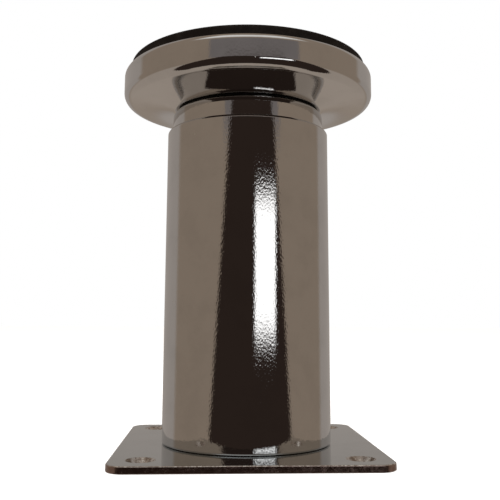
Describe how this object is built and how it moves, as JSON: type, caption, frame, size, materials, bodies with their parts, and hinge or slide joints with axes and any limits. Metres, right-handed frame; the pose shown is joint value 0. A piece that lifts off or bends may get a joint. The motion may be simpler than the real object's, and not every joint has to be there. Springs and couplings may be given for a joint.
{
  "type": "adjustable furniture leg",
  "caption": "Round chromed furniture leg: square fixing plate, tube, end cap and a wide screw-out levelling foot with a rubber pad.",
  "frame": {"origin": "centre of the fixing plate's outer face, the face that meets the furniture, which is the lowest point with the foot upwards", "axes": "+Z along the leg from the fixing plate to the levelling foot, so the leg stands foot-upwards here and is turned over in use; X and Y along the plate's sides"},
  "size_m": [0.079, 0.079, 0.119],
  "materials": {
    "chromed_plate": "bright chrome plate over pressed steel, a little duller than the tube",
    "chromed_tube": "mirror chrome with fine pits",
    "chromed_cap": "mirror chrome on a drawn cap",
    "chromed_dish": "mirror chrome on a pressed dish",
    "zinc_steel": "zinc-plated, satin",
    "blacked_steel": "blackened spring steel",
    "black_fibre": "matt black fibre",
    "black_plastic": "moulded, matt",
    "black_rubber": "very dark brown-black, matt, fine grain"
  },
  "bodies": {
    "leg": {"mounting_plate": "chromed_plate", "plate_screw": "zinc_steel", "anchor_cup": "zinc_steel", "anchor_nut": "zinc_steel", "leg_tube": "chromed_tube", "end_cap": "chromed_cap", "stem_nut": "zinc_steel"},
    "washer": {"buffer_washer": "black_fibre"},
    "foot": {"dish_shell": "chromed_dish", "hub_nut": "zinc_steel", "dish_core": "black_plastic", "rubber_pad": "black_rubber", "threaded_stem": "zinc_steel", "stop_clip": "blacked_steel"}
  },
  "joints": [
    {"name": "foot_rise", "type": "slide", "parent": "leg", "child": "washer", "axis": [0, 0, 1], "range_m": [0, 0.018]},
    {"name": "foot_turn", "type": "hinge", "parent": "washer", "child": "foot", "pos_m": [0, 0, 0.1035], "axis": [0, 0, 1], "range_deg": [0, 4320.5]}
  ],
  "couplings": [
    {"joint": "foot_turn", "follows": "foot_rise", "rad_per_m": 4188.8}
  ]
}
